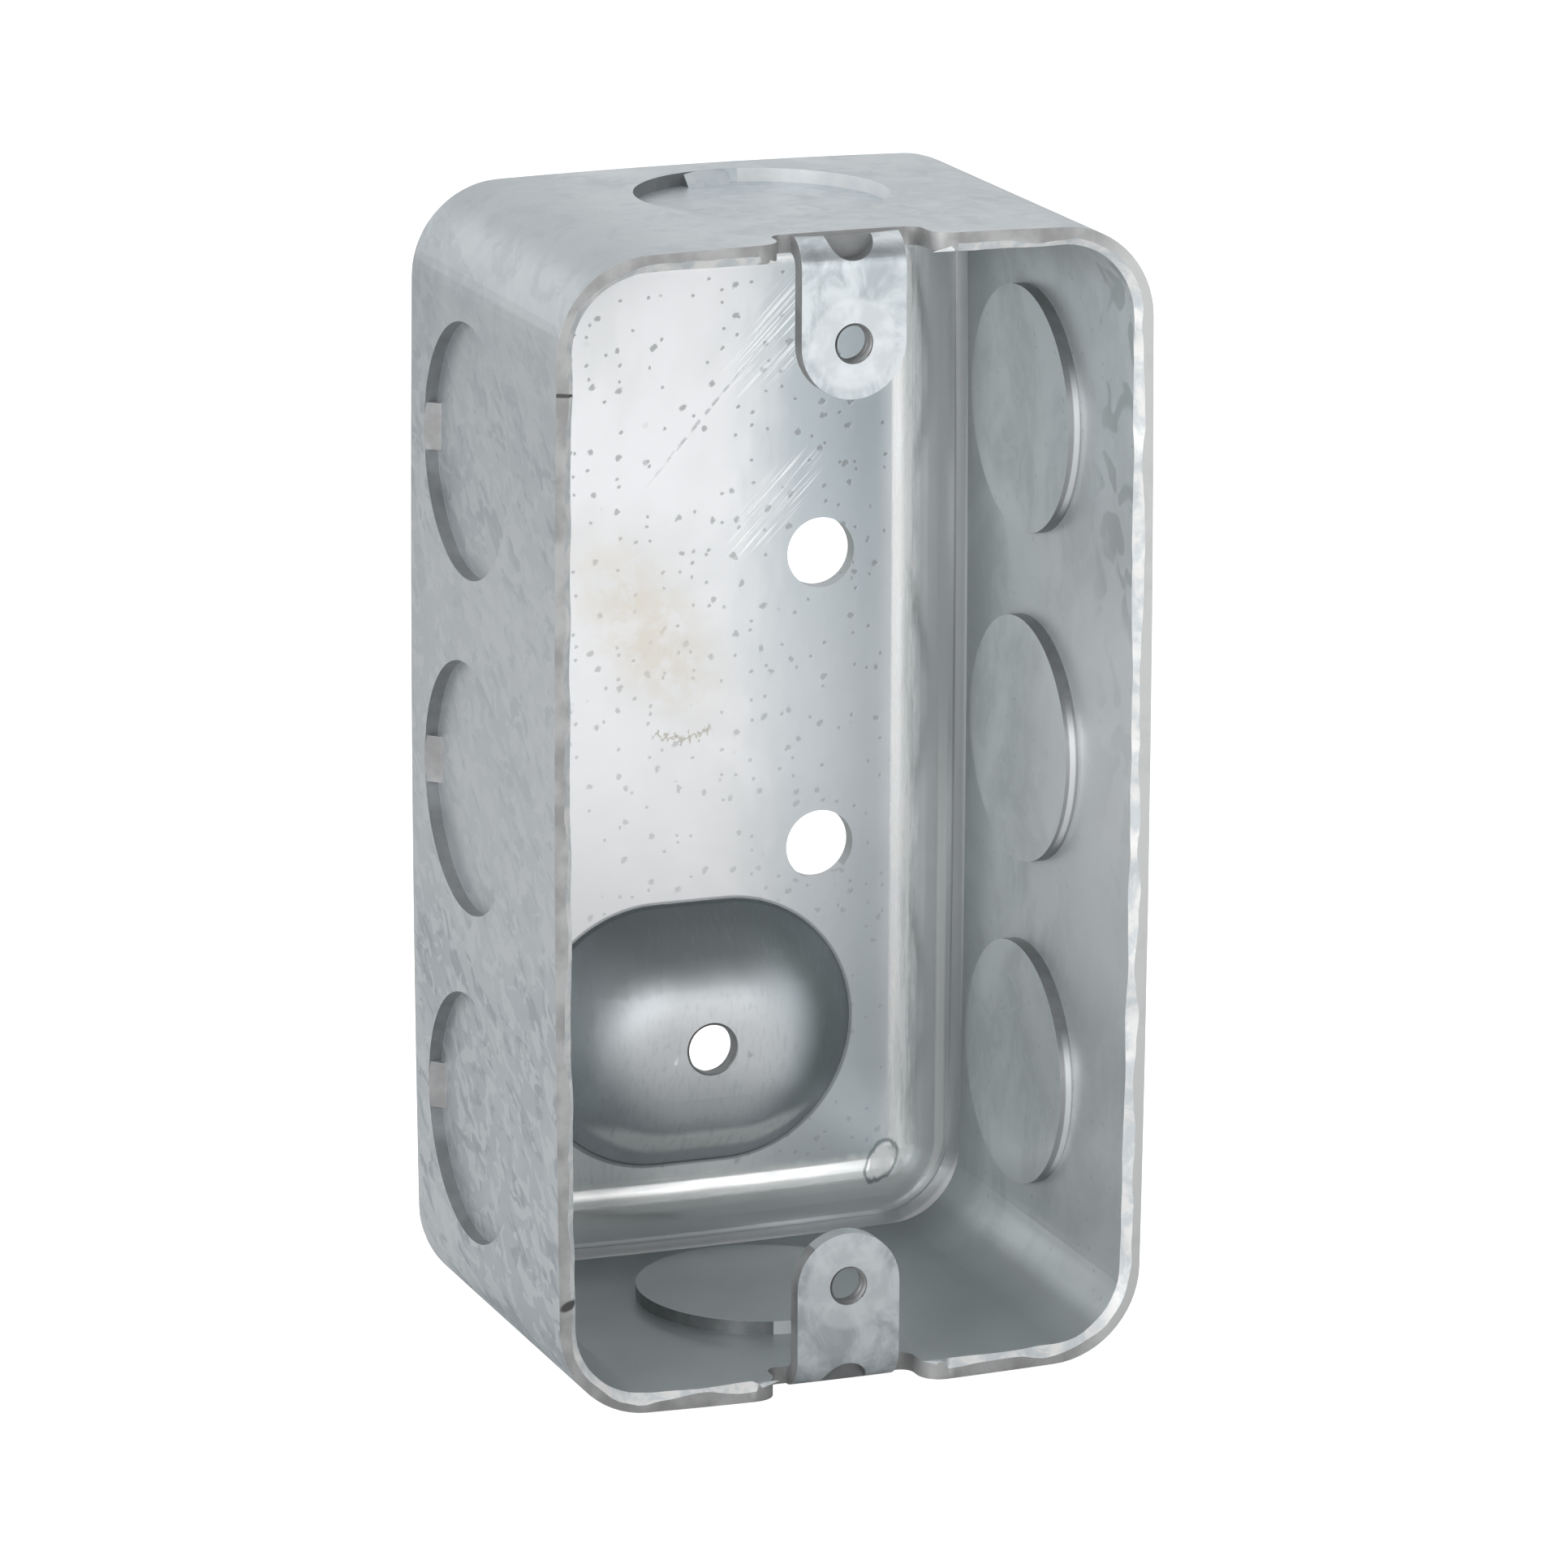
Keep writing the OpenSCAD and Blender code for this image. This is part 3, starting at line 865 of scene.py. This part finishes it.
def slug_edge():
    """The sheared face of a slug inside the box: dark sheared steel in painted shade above,
    painted lighter below, with a painted highlight line below.
    """
    m = Nodes("slug_edge")
    x, _, z = m.parts(m.coords)
    up = m.add("ShaderNodeMath", {
        0: m.less(z, MIDDLE.z), 1: -KNOCKOUT_PITCH / 2, 2: KNOCKOUT_PITCH / 2,
    }, operation="WRAP").outputs[0]
    # Painted light on the lower part of each slug's edge.
    below = m.times(m.over(up, 6, 2), m.over(up, -9, -6))
    wall = HALF.x - SHEET
    # Painted highlight: a bright line near the wall.
    line = m.between(m.calc("ABSOLUTE", x), wall - 0.75 * MM, wall - 0.35 * MM, 0.15 * MM)
    colour = m.blend(m.grain((1.5, 1.5, 1.5)), EDGE_DARK_AND_SHADE, EDGE_GREY)
    colour = m.blend(m.times(below, 0.6), colour, EDGE_PAINTED_LIGHT)
    return m.finish(m.blend(m.times(below, line), colour, ZINC_WHITE), 0.5, 0.4)


def soft_lamp(name, place, aim, size, watts):
    data = bpy.data.lights.new(name, "AREA")
    data.shape = "RECTANGLE"
    data.size, data.size_y = size
    data.energy = watts
    lamp = bpy.data.objects.new(name, data)
    lamp.location = place
    lamp.rotation_euler = (Vector(aim) - Vector(place)).to_track_quat("-Z", "Y").to_euler()
    bpy.context.scene.collection.objects.link(lamp)


def pale_floor():
    """A pale sheet. Metal sees the lit patch in front of the box as the brightest part."""
    bm = bmesh.new()
    bmesh.ops.create_grid(bm, x_segments=1, y_segments=1, size=FLOOR_HALF)
    mesh = bpy.data.meshes.new("pale_floor")
    bm.to_mesh(mesh)
    bm.free()
    floor = bpy.data.objects.new("pale_floor", mesh)
    bpy.context.scene.collection.objects.link(floor)
    m = Nodes("pale_floor")
    rays = m.add("ShaderNodeLightPath").outputs
    away = m.add("ShaderNodeVectorMath", {0: m.coords, 1: LIT_PATCH}, operation="DISTANCE")
    patch = m.steps(away.outputs["Value"], PATCH_OUTER, PATCH_INNER, FLOOR_GLOW, PATCH_GLOW)
    seen = m.plus(m.times(rays["Is Camera Ray"], CAMERA_GLOW),
                  m.times(rays["Is Glossy Ray"], patch))
    m.shader.inputs["Specular IOR Level"].default_value = 0.0
    m.shader.inputs["Emission Color"].default_value = (1, 1, 1, 1)
    m.put(seen, m.shader.inputs["Emission Strength"])
    mesh.materials.append(m.finish(FLOOR_GREY, 0.0, 0.9))
    floor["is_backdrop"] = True


def studio():
    """A pale surround, dark in front where the camera stands, with the lamps and camera."""
    scene = bpy.context.scene
    scene.view_settings.view_transform = "Standard"
    world = bpy.data.worlds.new("studio")
    world.use_nodes = True
    tree = world.node_tree
    back = tree.nodes["Background"]
    back.inputs["Color"].default_value = (1, 1, 1, 1)

    def add(kind, **inputs):
        node = tree.nodes.new(kind)
        for key, value in inputs.items():
            if isinstance(value, bpy.types.NodeSocket):
                tree.links.new(value, node.inputs[key.replace("_", " ")])
            else:
                node.inputs[key.replace("_", " ")].default_value = value
        return node.outputs

    way = add("ShaderNodeSeparateXYZ", Vector=add("ShaderNodeTexCoord")["Generated"])
    light = add("ShaderNodeMapRange", Value=way["Y"], From_Min=DARK_ROOM[0], From_Max=DARK_ROOM[1],
                To_Min=ROOM_GLOW, To_Max=BACKDROP_GLOW)[0]
    rays = add("ShaderNodeLightPath")
    seen = add("ShaderNodeMapRange", Value=rays["Is Camera Ray"], To_Min=light, To_Max=1.0)[0]
    tree.links.new(seen, back.inputs["Strength"])
    scene.world = world
    for name, place, size, watts in LAMPS:
        soft_lamp(name, place, LAMP_AIM, size, watts)

    data = bpy.data.cameras.new("camera")
    data.lens = LENS_MM
    data.sensor_width = SENSOR_MM
    data.sensor_fit = "HORIZONTAL"
    data.clip_start = 0.05
    camera = bpy.data.objects.new("camera", data)
    camera.location = CAMERA_PLACE
    camera.rotation_euler = CAMERA_TURN
    scene.collection.objects.link(camera)
    scene.camera = camera


steel = drawn_steel(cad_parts["drawn_box"])
for finish in (outer_sheet(), bright_burr(), cut_steel(), pressed_back(), inner_wall(),
               # The dark edge is sheared steel in painted shade, the light edge a painted
               # highlight.
               folded_ear(), sheared_edge("shear_and_shade_edge", EDGE_DARK_AND_SHADE, EDGE_GREY, 0.6),
               sheared_edge("painted_highlight_edge", ZINC_LIGHT, BURR_AND_HIGHLIGHT_WHITE, 0.2), slug_edge()):
    steel.data.materials.append(finish)
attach(steel, "root")
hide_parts("drawn_box")

ear_y = RIM_Y + EAR_SETBACK + SHEET / 2
ground_y = PANEL_Y - DOME_HEIGHT + GROUND_HOLE_LENGTH / 2
thread_steel = cut_steel()
for name, x, y, z, radius, length in (
    ("upper_ear_thread", 0, ear_y, MIDDLE.z + EAR_HOLE_SPACING / 2, EAR_HOLE_R, SHEET),
    ("lower_ear_thread", 0, ear_y, MIDDLE.z - EAR_HOLE_SPACING / 2, EAR_HOLE_R, SHEET),
    ("ground_thread", DOME_MIDDLE.x, ground_y, DOME_MIDDLE.z, GROUND_HOLE_R, GROUND_HOLE_LENGTH),
):
    thread = tapped_thread(name, Vector((x, y, z)), radius, length - THREAD_SHORT)
    thread.data.materials.append(thread_steel)
    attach(thread, "root")

pale_floor()
studio()
